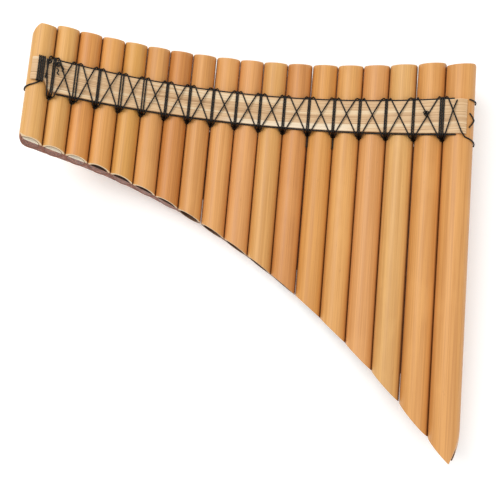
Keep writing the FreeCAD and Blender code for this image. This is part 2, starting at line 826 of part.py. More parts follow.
nodes = {}
for index in range(TUBE_COUNT):
    nodes["tube_%02d" % (index + 1)] = [make_tube(index)]
    nodes["stopper_%02d" % (index + 1)] = [make_stopper(index)]
nodes["front_slat"] = [make_front_slat()]
nodes["back_slat"] = [make_slat(-1, BACK_SLAT_INSET)]
nodes["gap_wraps"] = make_gap_wraps()
nodes["cross_lashing"] = make_cross_lashing()
nodes["front_edge_cords"] = make_front_edge_cords()
nodes["back_edge_cords"] = make_back_edge_cords()
nodes["end_whipping"] = make_end_whipping()
nodes["end_ties"] = make_first_end_ties() + make_last_end_ties()
nodes["knots"] = make_knots()
nodes["cord_tails"] = make_cord_tails()
nodes["glue_beads"], nodes["end_seals"] = make_glue()
nodes["end_fills"] = [make_end_fill(index) for index in range(FILLED_ENDS)]

pitch_turn = FreeCAD.Rotation(vector(1, 0, 0), math.degrees(rest_pitch()))
pitched = FreeCAD.Placement(vector(0, 0, 0), pitch_turn)
for solids in nodes.values():
    for solid in solids:
        solid.Placement = pitched.multiply(solid.Placement)
outline = Part.makeCompound([solid for solids in nodes.values() for solid in solids])
box = outline.optimalBoundingBox(False, False)
to_origin = vector(-box.Center.x, -box.Center.y, -box.ZMin)

for name, solids in nodes.items():
    for solid in solids:
        solid.translate(to_origin)
    shape = solid_of(solids)
    shape.exportStep("parts/%s.step" % name)
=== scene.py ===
import json
import math

import bmesh
import bpy
import numpy as np
from mathutils import Matrix, Vector


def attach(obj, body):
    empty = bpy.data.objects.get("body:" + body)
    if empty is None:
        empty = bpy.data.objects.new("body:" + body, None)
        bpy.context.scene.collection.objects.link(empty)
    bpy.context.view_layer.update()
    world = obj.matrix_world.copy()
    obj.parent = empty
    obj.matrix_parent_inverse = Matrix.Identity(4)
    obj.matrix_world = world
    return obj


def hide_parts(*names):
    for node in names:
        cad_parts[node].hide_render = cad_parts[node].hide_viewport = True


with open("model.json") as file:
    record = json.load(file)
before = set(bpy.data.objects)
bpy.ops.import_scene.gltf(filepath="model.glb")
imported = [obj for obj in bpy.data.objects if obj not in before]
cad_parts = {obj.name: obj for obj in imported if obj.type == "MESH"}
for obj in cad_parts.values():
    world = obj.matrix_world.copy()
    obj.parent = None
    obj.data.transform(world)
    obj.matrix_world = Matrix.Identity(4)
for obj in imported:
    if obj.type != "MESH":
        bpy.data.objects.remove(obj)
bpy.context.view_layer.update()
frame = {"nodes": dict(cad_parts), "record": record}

MM = 0.001
RECORD = frame["record"]
MOUNTS = {mount["name"]: mount for mount in RECORD["mounts"]}
ROOT = "row"

# ------------------------------------------------------------------ the row, as the CAD lays it out (mm)

TUBE_COUNT = 18
SHORT_TUBE_DIAMETER = 14.9
LONG_TUBE_EXTRA_DIAMETER = 4.3
TUBE_SPACING = 0.06
OPEN_GAP = 0.45
OPEN_GAP_NUMBERS = (8, 12, 16)
WALL = 2.4
LIP_SLOPE = math.radians(14)
LIP_MARGIN = 0.1
BEND_RADIUS = 316.0
ROW_TURN = math.radians(-6.0)
SLAT_THICKNESS = 2.2
SLAT_END_THICKNESS = 1.3
SLAT_SEAT = 0.08
SLAT_TOP_AT_SHORT_END = 27.5
SLAT_TOP_FALL = 2.4
SLAT_MIN_HEIGHT = 20.4
SLAT_FLARE = 9.0
SLAT_NARROWEST_AT = 0.42
SLAT_OVERHANG = 6.4
SLAT_HUG = 1.5
SLAT_HUG_START = 2.4
HEEL_NOTCH = 6.5
BACK_SLAT_INSET = 1.0
BACK_CORD_SLACK = 0.3
CORD_RADIUS = 0.55
CORD_GAP = 0.05
PASSAGE_HALF_WIDTH = 1.72
PASSAGE_HEIGHT = 2.6
WRAP_COUNTS = (2,) * 16 + (3,)
SPREAD_WRAP_GAPS = (2, 4, 5)
WRAP_SPREAD = 0.55
CROSS_TOP_OFFSET = 3.2
CROSS_BOTTOM_OFFSET = 2.5
TUCK_OFFSET = 2.3
CORD_LIFT = 1.2
NARROW_CORD_LIFT = 1.85
WHIPPING_TURNS = 4
WHIPPING_CENTRE = -0.8
FILL_FRONT = 1.2
PASSAGE_MARGIN = 1.02
ROW_CLEARANCE = 0.08
END_TIE_OFFSET = 3.3
END_TIE_INSET = 1.6
LAST_FALL = 13.0
LAST_RISE = 9.5
CORD_BEND = 1.2
CROSS_BEND = 0.9
TIE_BEND = 2.0
EDGE_BEND = 8.0
WHIPPING_BEND = 0.7
TAIL_GAP_NUMBERS = (12, 13)
TAIL_LENGTH = 8.0
TAIL_OUT = 4.0
KNOT_CORD_RADIUS = 0.38
KNOT_SIZE = 0.60
KNOT_RISE = 0.72
KNOT_OPENING = 0.25
KNOT_STEPS = 60

# ------------------------------------------------------------------ what the drawn thread adds (mm)

CROSS_STRAY = 0.35                 # of a hand-tied crossing along the slat's edge
WRAP_LEAN = 0.04
EDGE_LIFT = 1.3                    # the upper thread rides up on the slat's corner
SECOND_LOOP_TURN = 1.05            # radians
SECOND_LOOP_SHARE = 0.82


def diameter(index):
    return SHORT_TUBE_DIAMETER + LONG_TUBE_EXTRA_DIAMETER * index / (TUBE_COUNT - 1)


def tube_stations():
    centres, gaps, place = [], [], 0.0
    for index in range(TUBE_COUNT):
        centres.append(place + diameter(index) / 2)
        place += diameter(index)
        if index < TUBE_COUNT - 1:
            spacing = OPEN_GAP if index + 1 in OPEN_GAP_NUMBERS else TUBE_SPACING
            gaps.append(place + spacing / 2)
            place += spacing
    half = place / 2
    return [c - half for c in centres], [g - half for g in gaps], place


CENTRES, GAPS, ROW_LENGTH = tube_stations()
AXIS = Vector(MOUNTS["mouth_02"]["axis"]).normalized()
PITCH = math.atan2(AXIS.z, AXIS.y)
PITCH_TURN = Matrix.Rotation(PITCH, 3, "X")


def heading(place):
    return ROW_TURN + place / BEND_RADIUS


def row_point(place):
    x = BEND_RADIUS * (math.sin(heading(place)) - math.sin(ROW_TURN))
    z = BEND_RADIUS * (math.cos(ROW_TURN) - math.cos(heading(place)))
    return x, z


def mouth_shift():
    """What takes the flute's own frame, once pitched, to the row frame: read from one mouth's mount."""
    mount = MOUNTS["mouth_02"]
    lost = mount["dims"]["r_mm"] * math.tan(LIP_SLOPE) + LIP_MARGIN
    mouth = Vector(mount["pos_m"]) + AXIS * (mount["dims"]["length_mm"] / 2 + lost) * MM
    x, z = row_point(CENTRES[1])
    return mouth - PITCH_TURN @ (Vector((x, 0, z)) * MM)


SHIFT = mouth_shift()


def laid(point):
    """A point of the flute's own frame, in mm, as it lies in the row frame, in metres."""
    return PITCH_TURN @ (Vector(point) * MM) + SHIFT


def along(place):
    return Vector((math.cos(heading(place)), 0, math.sin(heading(place))))


def outward(place):
    return Vector((-math.sin(heading(place)), 0, math.cos(heading(place))))


def at(place, out, y):
    x, z = row_point(place)
    return Vector((x, y, z)) + outward(place) * out


def beside(place, across, out, y):
    return at(place, out, y) + along(place) * across


def share_of_row(place):
    return min(1.0, max(0.0, place / ROW_LENGTH + 0.5))


def crest(place):
    if place <= CENTRES[0]:
        return diameter(0) / 2
    if place >= CENTRES[-1]:
        return diameter(TUBE_COUNT - 1) / 2
    return float(np.interp(place, CENTRES, [diameter(n) / 2 for n in range(TUBE_COUNT)]))


def slat_top(place):
    return -(SLAT_TOP_AT_SHORT_END + SLAT_TOP_FALL * share_of_row(place))


def slat_bottom(place):
    flare = SLAT_FLARE * (share_of_row(place) - SLAT_NARROWEST_AT) ** 2
    return slat_top(place) - SLAT_MIN_HEIGHT - flare


def past_end(place):
    return max(CENTRES[0] - place - SLAT_HUG_START, place - CENTRES[-1] - SLAT_HUG_START, 0)


def slat_outer(place, side):
    radius = crest(place)
    past = past_end(place)
    hug = SLAT_HUG * (radius - math.sqrt(radius**2 - past**2))
    thinning = past / (SLAT_OVERHANG - SLAT_HUG_START)
    thickness = SLAT_THICKNESS - (SLAT_THICKNESS - SLAT_END_THICKNESS) * thinning
    return side * (radius + SLAT_SEAT - hug + thickness)


def cord_out(place, side):
    return slat_outer(place, side) + side * (CORD_RADIUS + CORD_GAP)


# ------------------------------------------------------------------ node helpers


def linear(rgb):
    """Linear colour of an sRGB triple given from 0 to 255."""
    out = []
    for c in rgb:
        c /= 255
        out.append(c / 12.92 if c <= 0.04045 else ((c + 0.055) / 1.055) ** 2.4)
    return tuple(out) + (1.0,)


class Tree:
    """Short names for building a material's nodes."""

    def __init__(self, name):
        self.material = bpy.data.materials.new(name)
        self.material.use_nodes = True
        self.tree = self.material.node_tree
        self.tree.nodes.clear()
        self.shader = self.add("ShaderNodeBsdfPrincipled")
        output = self.add("ShaderNodeOutputMaterial")
        self.link(self.shader.outputs["BSDF"], output.inputs["Surface"])

    def add(self, kind, **settings):
        node = self.tree.nodes.new(kind)
        for key, value in settings.items():
            setattr(node, key, value)
        return node

    def link(self, source, target):
        if isinstance(source, (int, float, tuple)):
            target.default_value = source
        else:
            self.tree.links.new(source, target)

    def math(self, operation, a, b=0.0, clamp=False):
        node = self.add("ShaderNodeMath", operation=operation, use_clamp=clamp)
        for value, socket in zip((a, b), node.inputs):
            self.link(value, socket)
        return node.outputs[0]

    def step(self, value, low, high):
        """0 below low, 1 above high (or the reverse when low is larger), smooth between."""
        node = self.add("ShaderNodeMapRange", interpolation_type="SMOOTHSTEP")
        self.link(value, node.inputs["Value"])
        flip = low > high
        node.inputs["From Min"].default_value = min(low, high)
        node.inputs["From Max"].default_value = max(low, high)
        node.inputs["To Min"].default_value = 1.0 if flip else 0.0
        node.inputs["To Max"].default_value = 0.0 if flip else 1.0
        return node.outputs["Result"]

    def remap(self, value, low, high, to_low, to_high):
        node = self.add("ShaderNodeMapRange")
        self.link(value, node.inputs["Value"])
        for key, number in zip(("From Min", "From Max", "To Min", "To Max"), (low, high, to_low, to_high)):
            node.inputs[key].default_value = number
        return node.outputs["Result"]

    def mix(self, share, a, b):
        node = self.add("ShaderNodeMix", data_type="RGBA")
        self.link(share, node.inputs[0])
        self.link(a, node.inputs[6])
        self.link(b, node.inputs[7])
        return node.outputs[2]

    def scaled(self, vector, scale, shift=(0.0, 0.0, 0.0)):
        node = self.add("ShaderNodeMapping")
        self.link(vector, node.inputs["Vector"])
        node.inputs["Scale"].default_value = scale
        node.inputs["Location"].default_value = shift
        return node.outputs["Vector"]

    def noise(self, vector, scale, shift=(0.0, 0.0, 0.0), detail=3.0, roughness=0.55):
        node = self.add("ShaderNodeTexNoise")
        self.link(self.scaled(vector, scale, shift), node.inputs["Vector"])
        node.inputs["Scale"].default_value = 1.0
        node.inputs["Detail"].default_value = detail
        node.inputs["Roughness"].default_value = roughness
        return node.outputs["Fac"]

    def local(self, origin, turn):
        """Coordinates about an origin, in metres, with the axes turned by a matrix."""
        coordinates = self.add("ShaderNodeTexCoord")
        node = self.add("ShaderNodeMapping", vector_type="TEXTURE")
        self.link(coordinates.outputs["Object"], node.inputs["Vector"])
        node.inputs["Location"].default_value = origin
        node.inputs["Rotation"].default_value = turn.to_euler("XYZ")
        return node.outputs["Vector"], coordinates.outputs["Normal"]

    def parts(self, vector):
        node = self.add("ShaderNodeSeparateXYZ")
        self.link(vector, node.inputs[0])
        return node.outputs

    def bump(self, height, strength, distance):
        node = self.add("ShaderNodeBump")
        node.inputs["Strength"].default_value = strength
        node.inputs["Distance"].default_value = distance
        self.link(height, node.inputs["Height"])
        return node.outputs["Normal"]


# ------------------------------------------------------------------ materials

TINTS = (
    (219, 170, 106), (217, 167, 101), (212, 149, 82), (216, 158, 91), (210, 157, 85), (213, 157, 96),
    (200, 136, 73), (213, 156, 94), (217, 160, 99), (217, 159, 102), (215, 164, 101), (206, 145, 86),
    (214, 156, 88), (218, 164, 100), (217, 160, 103), (218, 171, 110), (216, 159, 95), (217, 160, 97),
)
SEALED_TUBES = 7
PAINTED_LIT_BORE_TUBES = 3
RIND_BALANCE = (1.0, 0.975, 0.90)  # sheen from the wax adds a little blue back


def bamboo(index):
    """Smooth rind with lengthwise streaks, painted shade in the grooves, a sanded lower cut with a painted
    shadow line at the bore, and a brown bore whose lower end is painted as lit in the first tubes and as
    shade in the others.
    """
    t = Tree("bamboo_%02d" % (index + 1))
    radius = diameter(index) / 2 * MM
    bore = radius - WALL * MM
    x, z = row_point(CENTRES[index])
    turn = PITCH_TURN @ Matrix.Rotation(-heading(CENTRES[index]), 3, "Y")
    place, normal = t.local(laid((x, 0, z)), turn)
    across, length, out = t.parts(place)
    shift = (3.1 * index, 1.7 * index, 5.3 * index)
    fine = t.noise(place, (1500, 14, 1500), shift, 4.0, 0.62)
    broad = t.noise(place, (330, 5, 330), shift, 3.0)
    blotch = t.noise(place, (45, 22, 45), shift, 3.0)
    fleck = t.noise(place, (900, 160, 900), shift, 2.0, 0.5)
    rind = [c * k for c, k in zip(TINTS[index], RIND_BALANCE)]
    tint = linear(rind)
    dark = linear([c * k for c, k in zip(rind, (0.88, 0.83, 0.76))])
    light = linear([min(252, c * k) for c, k in zip(rind, (1.04, 1.06, 1.09))])
    colour = t.mix(t.step(fine, 0.36, 0.62), dark, light)
    colour = t.mix(0.55, colour, tint)
    colour = t.mix(t.math("MULTIPLY", t.step(broad, 0.56, 0.36), 0.45), colour, dark)
    colour = t.mix(t.math("MULTIPLY", t.step(blotch, 0.50, 0.72), 0.40), colour, light)
    colour = t.mix(t.math("MULTIPLY", t.step(fleck, 0.70, 0.80), 0.35), colour, linear((150, 92, 48)))
    # painted shade in the grooves beside the neighbouring tubes
    side = t.math("ABSOLUTE", across)
    if index == 0:
        side = across
    if index == TUBE_COUNT - 1:
        side = t.math("MULTIPLY", across, -1.0)
    groove_painted_shade = t.step(side, radius * 0.88, radius * 0.995)
    groove_painted_shade = t.math("MULTIPLY", groove_painted_shade, t.remap(broad, 0.3, 0.7, 0.65, 1.0))
    colour = t.mix(groove_painted_shade, colour, linear((142, 82, 40)))
    # the handled rim of the mouth is a little paler
    rim = t.step(length, -0.0045, -0.0005)
    colour = t.mix(t.math("MULTIPLY", rim, 0.25), colour, linear((224, 178, 118)))
    # the bore, whose lower end is painted pale, as lit, in the first tubes and painted dark, as shade, in
    # the others
    radial = t.math("SQRT", t.math("ADD", t.math("MULTIPLY", across, across), t.math("MULTIPLY", out, out)))
    inside = t.step(radial, bore + 0.00075, bore + 0.00045)
    bore_colour = t.mix(t.step(fine, 0.35, 0.65), linear((150, 108, 68)), linear((204, 168, 120)))
    lower_end = t.step(length, -0.060, -0.070)
    if index < PAINTED_LIT_BORE_TUBES:
        lower_bore_painted_light_shade = t.mix(t.step(fine, 0.35, 0.65), linear((226, 196, 156)), linear((250, 238, 214)))
    else:
        lower_bore_painted_light_shade = t.mix(t.step(fine, 0.35, 0.65), linear((58, 34, 20)), linear((112, 76, 46)))
    bore_colour = t.mix(lower_end, bore_colour, lower_bore_painted_light_shade)
    colour = t.mix(inside, colour, bore_colour)
    # the sawn and sanded ends
    facing = t.add("ShaderNodeVectorMath", operation="DOT_PRODUCT")
    t.link(normal, facing.inputs[0])
    facing.inputs[1].default_value = AXIS
    down = t.step(facing.outputs["Value"], -0.30, -0.50)
    low = t.step(length, -0.065, -0.070)
    cut = t.math("MULTIPLY", down, low)
    grain = t.noise(place, (2600, 2600, 2600), shift, 2.0)
    sanded = t.mix(grain, linear((214, 176, 128)), linear((245, 222, 184)))
    stained = t.mix(t.step(fine, 0.35, 0.62), linear((96, 48, 34)), linear((156, 92, 66)))
    if index >= SEALED_TUBES:
        stained = t.mix(grain, linear((104, 74, 52)), linear((150, 112, 80)))
    rear = t.step(out, (FILL_FRONT + 0.8) * MM, FILL_FRONT * MM)
    colour = t.mix(cut, colour, t.mix(rear, sanded, stained))
    # painted shadow: a dark line where the cut meets the bore, the shade under the front rim
    edge = t.math("MULTIPLY", cut, t.step(radial, bore + 0.0011, bore + 0.0006))
    colour = t.mix(edge, colour, linear((92, 56, 34)))
    t.link(colour, t.shader.inputs["Base Color"])
    rough = t.remap(fine, 0.3, 0.7, 0.40, 0.56)
    rough = t.math("ADD", rough, t.math("MULTIPLY", t.math("MAXIMUM", cut, inside), 0.25), clamp=True)
    t.link(rough, t.shader.inputs["Roughness"])
    height = t.math("ADD", t.math("MULTIPLY", fine, 0.7), t.math("MULTIPLY", fleck, 0.3))
    t.link(t.bump(height, 0.35, 0.00012), t.shader.inputs["Normal"])
    t.shader.inputs["Coat Weight"].default_value = 0.06
    t.shader.inputs["Coat Roughness"].default_value = 0.35
    return t.material


def split_bamboo(name, side):
    """A thin strip with its grain along the row, with a painted highlight along part of its lower edge."""
    t = Tree(name)
    centre = laid((-BEND_RADIUS * math.sin(ROW_TURN), 0, BEND_RADIUS * math.cos(ROW_TURN)))
    place, _ = t.local(centre, PITCH_TURN)
    x, y, z = t.parts(place)
    arc = t.math("MULTIPLY", t.math("ARCTAN2", x, t.math("MULTIPLY", z, -1.0)), BEND_RADIUS * MM)
    flat = t.add("ShaderNodeCombineXYZ")
    t.link(arc, flat.inputs[0])
    t.link(y, flat.inputs[1])
    grain = t.noise(flat.outputs[0], (16, 1700, 1), (2.0, side, 0), 4.0, 0.6)
    bands = t.noise(flat.outputs[0], (7, 330, 1), (8.0, side * 3.0, 0), 3.0)
    blotch = t.noise(flat.outputs[0], (40, 60, 1), (1.0, side * 7.0, 0), 2.0)
    colour = t.mix(t.step(grain, 0.34, 0.66), linear((184, 142, 98)), linear((228, 194, 150)))
    colour = t.mix(t.math("MULTIPLY", t.step(bands, 0.52, 0.66), 0.6), colour, linear((240, 220, 184)))
    colour = t.mix(t.math("MULTIPLY", t.step(bands, 0.44, 0.32), 0.55), colour, linear((160, 118, 76)))
    colour = t.mix(t.math("MULTIPLY", t.step(blotch, 0.55, 0.75), 0.25), colour, linear((206, 160, 104)))
    # painted highlight: a pale stretch of the lower edge, where its bevel would catch the light
    lower = t.math("MULTIPLY", t.step(y, -0.0445, -0.0485), t.step(arc, 0.050, 0.030))
    lower = t.math("MULTIPLY", lower, t.step(arc, -0.060, -0.040))
    colour = t.mix(t.math("MULTIPLY", lower, 0.55), colour, linear((250, 240, 216)))
    t.link(colour, t.shader.inputs["Base Color"])
    t.link(t.remap(grain, 0.3, 0.7, 0.50, 0.68), t.shader.inputs["Roughness"])
    height = t.math("ADD", t.math("MULTIPLY", grain, 0.6), t.math("MULTIPLY", bands, 0.6))
    t.link(t.bump(height, 0.7, 0.0003), t.shader.inputs["Normal"])
    return t.material


def waxed_thread(name):
    """Black twisted thread with wax rubbed into it."""
    t = Tree(name)
    coordinates = t.add("ShaderNodeTexCoord")
    place = coordinates.outputs["Object"]
    fibre = t.noise(place, (5200, 5200, 5200), (0, 0, 0), 2.0)
    wax = t.noise(place, (420, 420, 420), (4, 1, 2), 3.0)
    colour = t.mix(t.step(fibre, 0.35, 0.7), linear((9, 8, 8)), linear((27, 23, 20)))
    colour = t.mix(t.math("MULTIPLY", t.step(wax, 0.62, 0.76), 0.4), colour, linear((56, 47, 38)))
    t.link(colour, t.shader.inputs["Base Color"])
    t.link(t.remap(wax, 0.3, 0.7, 0.42, 0.68), t.shader.inputs["Roughness"])
    t.link(t.bump(fibre, 0.5, 0.0001), t.shader.inputs["Normal"])
    t.shader.inputs["Specular IOR Level"].default_value = 0.35
    return t.material


def brown_filler(name):
    """Hard reddish-brown glue, streaked by the knife; its near faces are painted pale, as lit, in the first
    three tubes, and painted dark, as shade, in the others.
    """
    t = Tree(name)
    coordinates = t.add("ShaderNodeTexCoord")
    place = coordinates.outputs["Object"]
    streak = t.noise(place, (900, 90, 900), (2, 3, 1), 4.0, 0.6)
    cloud = t.noise(place, (160, 160, 160), (7, 1, 5), 3.0)
    colour = t.mix(t.step(streak, 0.34, 0.66), linear((88, 42, 30)), linear((158, 96, 70)))
    colour = t.mix(t.math("MULTIPLY", t.step(cloud, 0.58, 0.74), 0.6), colour, linear((206, 158, 132)))
    # painted light and shade: the near faces are near white as lit in the first three tubes, near black as
    # shade beyond
    facing = t.add("ShaderNodeVectorMath", operation="DOT_PRODUCT")
    t.link(coordinates.outputs["Normal"], facing.inputs[0])
    facing.inputs[1].default_value = (PITCH_TURN @ outward(CENTRES[0])).normalized()
    front = t.step(facing.outputs["Value"], 0.80, 0.90)
    lit_faces_end = laid(at(GAPS[PAINTED_LIT_BORE_TUBES - 1], 0, 0)).x
    lit_faces_share = t.step(t.parts(place)[0], lit_faces_end + 0.001, lit_faces_end - 0.001)
    face = t.mix(lit_faces_share, linear((60, 36, 22)), linear((252, 244, 226)))
    colour = t.mix(front, colour, face)
    t.link(colour, t.shader.inputs["Base Color"])
    t.link(t.remap(cloud, 0.3, 0.7, 0.38, 0.62), t.shader.inputs["Roughness"])
    t.link(t.bump(streak, 0.6, 0.0003), t.shader.inputs["Normal"])
    return t.material


def cork(name):
    t = Tree(name)
    coordinates = t.add("ShaderNodeTexCoord")
    place = coordinates.outputs["Object"]
    cells = t.add("ShaderNodeTexVoronoi")
    t.link(t.scaled(place, (1100, 1100, 1100)), cells.inputs["Vector"])
    cells.inputs["Scale"].default_value = 1.0
    lentil = t.noise(place, (340, 340, 340), (3, 3, 3), 3.0)
    wall = t.step(cells.outputs["Distance"], 0.1, 0.7)
    colour = t.mix(wall, linear((150, 104, 62)), linear((204, 158, 108)))
    colour = t.mix(t.step(lentil, 0.62, 0.70), colour, linear((92, 56, 34)))
    t.link(colour, t.shader.inputs["Base Color"])
    t.link(t.remap(lentil, 0.3, 0.7, 0.7, 0.9), t.shader.inputs["Roughness"])
    t.link(t.bump(cells.outputs["Distance"], 0.6, 0.0004), t.shader.inputs["Normal"])
    return t.material


def dress(node, material):
    """Gives a CAD node one material."""
    thing = frame["nodes"][node]
    thing.data.materials.clear()
    thing.data.materials.append(material)


for index in range(TUBE_COUNT):
    dress("tube_%02d" % (index + 1), bamboo(index))
CORK = cork("cork_plug")
for index in range(TUBE_COUNT):
    dress("stopper_%02d" % (index + 1), CORK)
dress("front_slat", split_bamboo("front_slat_strip", 1.0))
dress("back_slat", split_bamboo("back_slat_strip", 2.0))
FILLER = brown_filler("brown_filler")
for node in ("glue_beads", "end_seals", "end_fills"):
    dress(node, FILLER)

# ------------------------------------------------------------------ thread

THREAD = waxed_thread("black_waxed_thread")
LAY_LENGTH = 6.0                   # mm for one full turn of the twist
THREAD_STEP = 0.5
PLIES = 3
RING_POINTS = 9


def rounded(points, bend):
    """The route with each inner corner replaced by a short curve, as dense points."""
    path = [points[0]]
    for before, corner, after in zip(points, points[1:], points[2:]):
        back = (before - corner).normalized()
        onward = (after - corner).normalized()
        half = back.angle(onward) / 2
        trim = min(bend / math.tan(half), (before - corner).length * 0.48, (after - corner).length * 0.48)
        first, last = corner + back * trim, corner + onward * trim
        for number in range(7):
            s = number / 6
            path.append(first * (1 - s) ** 2 + corner * (2 * s * (1 - s)) + last * s**2)
    path.append(points[-1])
    return path


def resampled(path, step):
    points = np.array([tuple(p) for p in path])
    lengths = np.r_[0, np.cumsum(np.linalg.norm(np.diff(points, axis=0), axis=1))]
    keep = np.r_[True, np.diff(lengths) > 1e-6]
    count = max(2, int(round(lengths[-1] / step)) + 1)
    at_lengths = np.linspace(0, lengths[-1], count)
    columns = [np.interp(at_lengths, lengths[keep], points[keep][:, k]) for k in range(3)]
    return np.stack(columns, 1), at_lengths


def strand(path, radius, seed):
    """Rings of a laid thread swept along a path, drawn in at both ends."""
    points, lengths = resampled(path, THREAD_STEP)
    tangents = np.gradient(points, axis=0)
    tangents /= np.linalg.norm(tangents, axis=1)[:, None]
    side = np.cross(tangents[0], (0.31, 0.77, 0.55))
    side /= np.linalg.norm(side)
    rings = []
    random = np.random.default_rng(seed)
    phase = random.uniform(0, 2 * math.pi)
    swell = 1.0 - 0.05 * random.random(len(points))
    turns = np.arange(RING_POINTS) * 2 * math.pi / RING_POINTS
    lobes = radius * (0.90 + 0.10 * np.cos(PLIES * turns))
    last = len(points) - 1
    for number, (point, tangent) in enumerate(zip(points, tangents)):
        side = side - tangent * side.dot(tangent)
        side /= np.linalg.norm(side)
        other = np.cross(tangent, side)
        angles = turns + phase + 2 * math.pi * lengths[number] / LAY_LENGTH
        size = lobes * swell[number] * (0.55 if number in (0, last) else 1.0)
        spread = np.cos(angles)[:, None] * side + np.sin(angles)[:, None] * other
        rings.append(point + size[:, None] * spread)
    return np.array(rings)


def thread_piece(name, routes, radius=CORD_RADIUS):
    """One mesh of all the routes (lists of dense points in the flute's own frame) of one CAD node."""
    vertices, faces = [], []
    for seed, path in enumerate(routes):
        rings = strand(path, radius, 100 * len(name) + seed)
        start = len(vertices)
        vertices += [laid(v) for ring in rings for v in ring]
        for row in range(len(rings) - 1):
            for k in range(RING_POINTS):
                a = start + row * RING_POINTS + k
                b = start + row * RING_POINTS + (k + 1) % RING_POINTS
                faces.append((a, b, b + RING_POINTS, a + RING_POINTS))
        end = start + (len(rings) - 1) * RING_POINTS
        faces.append(tuple(start + k for k in reversed(range(RING_POINTS))))
        faces.append(tuple(end + k for k in range(RING_POINTS)))
    mesh = bpy.data.meshes.new(name + "_thread")
    mesh.from_pydata(vertices, [], faces)
    mesh.validate()
    for polygon in mesh.polygons:
        polygon.use_smooth = True
    mesh.materials.append(THREAD)
    thing = bpy.data.objects.new(name + "_thread", mesh)
    bpy.context.scene.collection.objects.link(thing)
    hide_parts(name)
    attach(thing, ROOT)


def wobble(gap, turn, side):
    """How far a hand-tied crossing strays along the slat's edge."""
    return CROSS_STRAY * math.sin(12.9 * gap + 3.1 * turn + 5.7 * side)


def first_row(place, side):
    edge = slat_top(place) if side > 0 else slat_bottom(place)
    return edge + side * (PASSAGE_MARGIN + CORD_RADIUS + ROW_CLEARANCE)


def second_row(place, side):
    return first_row(place, side) + side * (2 * CORD_RADIUS + CORD_GAP)


def wrap_route(gap, across, slant):
    """A turn round both slats; slant is how far the front run leans."""
    front, back = cord_out(gap, 1), cord_out(gap, -1)
    top, bottom = first_row(gap, 1), first_row(gap, -1)
    middle = (top + bottom) / 2
    corners = (
        (across, back, middle + CORD_GAP), (across, back, top), (across + slant, front, top),
        (across - slant, front, bottom), (across, back, bottom), (across, back, middle - CORD_GAP),
    )
    return rounded([beside(gap, *corner) for corner in corners], CORD_BEND)


def gap_wrap_routes():
    routes = []
    random = np.random.default_rng(5)
    pitch = 2 * CORD_RADIUS + CORD_GAP
    for gap_number, (gap, count) in enumerate(zip(GAPS, WRAP_COUNTS), start=1):
        spread = WRAP_SPREAD if gap_number in SPREAD_WRAP_GAPS else 0.0
        for number in range(count):
            across = (number - (count - 1) / 2) * (pitch + spread)
            routes.append(wrap_route(gap, across, random.uniform(-WRAP_LEAN, WRAP_LEAN)))
    return routes


def tuck(gap, turn, side):
    row = second_row(gap, side)
    edge = slat_top(gap) if side > 0 else slat_bottom(gap)
    offset = CROSS_TOP_OFFSET if side > 0 else CROSS_BOTTOM_OFFSET
    front = cord_out(gap, 1)
    inner = turn * (PASSAGE_HALF_WIDTH - CORD_RADIUS - CORD_GAP) * 0.55
    return [
        beside(gap, turn * offset + wobble(gap, turn, side), front, edge + side * 1.1),
        beside(gap, turn * TUCK_OFFSET, front - 1.9, row - side * 0.25),
        beside(gap, inner, 5.0, row),
        beside(gap, inner, 0.3, row),
    ]


def over(start, end, under, place, lift):
    """Where a cord from start to end rides over the one that runs between the two points under it."""
    u, v, w = end - start, under[1] - under[0], start - under[0]
    a, b, c, d, e = u.dot(u), u.dot(v), v.dot(v), u.dot(w), v.dot(w)
    share = (a * e - b * d) / (a * c - b * b)
    return under[0] + v * share + outward(place) * lift


def cross_routes():
    routes = []
    for left, right in zip(GAPS, GAPS[1:]):
        for falling in (True, False):
            start = tuck(left, 1, 1) if falling else tuck(right, -1, 1)
            end = tuck(right, -1, -1) if falling else tuck(left, 1, -1)
            points = list(reversed(start))
            if falling == (right == GAPS[-1]):
                under = (tuck(right, -1, 1)[0], tuck(left, 1, -1)[0])
                if not falling:
                    under = (tuck(left, 1, 1)[0], tuck(right, -1, -1)[0])
                points.append(over(start[0], end[0], under, (left + right) / 2, CORD_LIFT))
            routes.append(rounded(points + end, CROSS_BEND))
    return routes


def edge_route(places, side, face, inset=0.0):
    points = []
    for place in places:
        edge = slat_top(place) - inset if side > 0 else slat_bottom(place) + inset
        out = face * (crest(place) + CORD_RADIUS + CORD_GAP + (EDGE_LIFT if side > 0 and face > 0 else 0))
        points.append(at(place, out, edge + side * (CORD_RADIUS + CORD_GAP)))
    return rounded(points, EDGE_BEND)


def front_edge_routes():
    top = [GAPS[0] + 1.6] + CENTRES[1:-1] + [CENTRES[-1] - 1.5]
    bottom = [GAPS[0] + 3.4] + CENTRES[2:-1] + [CENTRES[-1]]
    return [edge_route(top, 1, 1), edge_route(bottom, -1, 1)]


def back_edge_routes():
    places = [CENTRES[0] + 2] + CENTRES[1:-1] + [CENTRES[-1] - 2]
    return [edge_route(places, side, -1, BACK_SLAT_INSET - BACK_CORD_SLACK) for side in (1, -1)]


def whipping_routes():
    first = CENTRES[0]
    front = cord_out(first, 1)
    back = crest(first) + SLAT_SEAT + CORD_RADIUS + CORD_GAP
    top = slat_top(first) + CORD_RADIUS + 2 * CORD_GAP
    bottom = slat_bottom(first) + HEEL_NOTCH - CORD_RADIUS - 2 * CORD_GAP
    middle = (top + bottom) / 2
    routes = []
    for number in range(WHIPPING_TURNS):
        across = WHIPPING_CENTRE + (number - (WHIPPING_TURNS - 1) / 2) * (2 * CORD_RADIUS + CORD_GAP)
        corners = (
            (back, middle + CORD_GAP), (back, top), (front, top),
            (front, bottom), (back, bottom), (back, middle - CORD_GAP),
        )
        routes.append(rounded([beside(first, across, out, y) for out, y in corners], WHIPPING_BEND))
    return routes


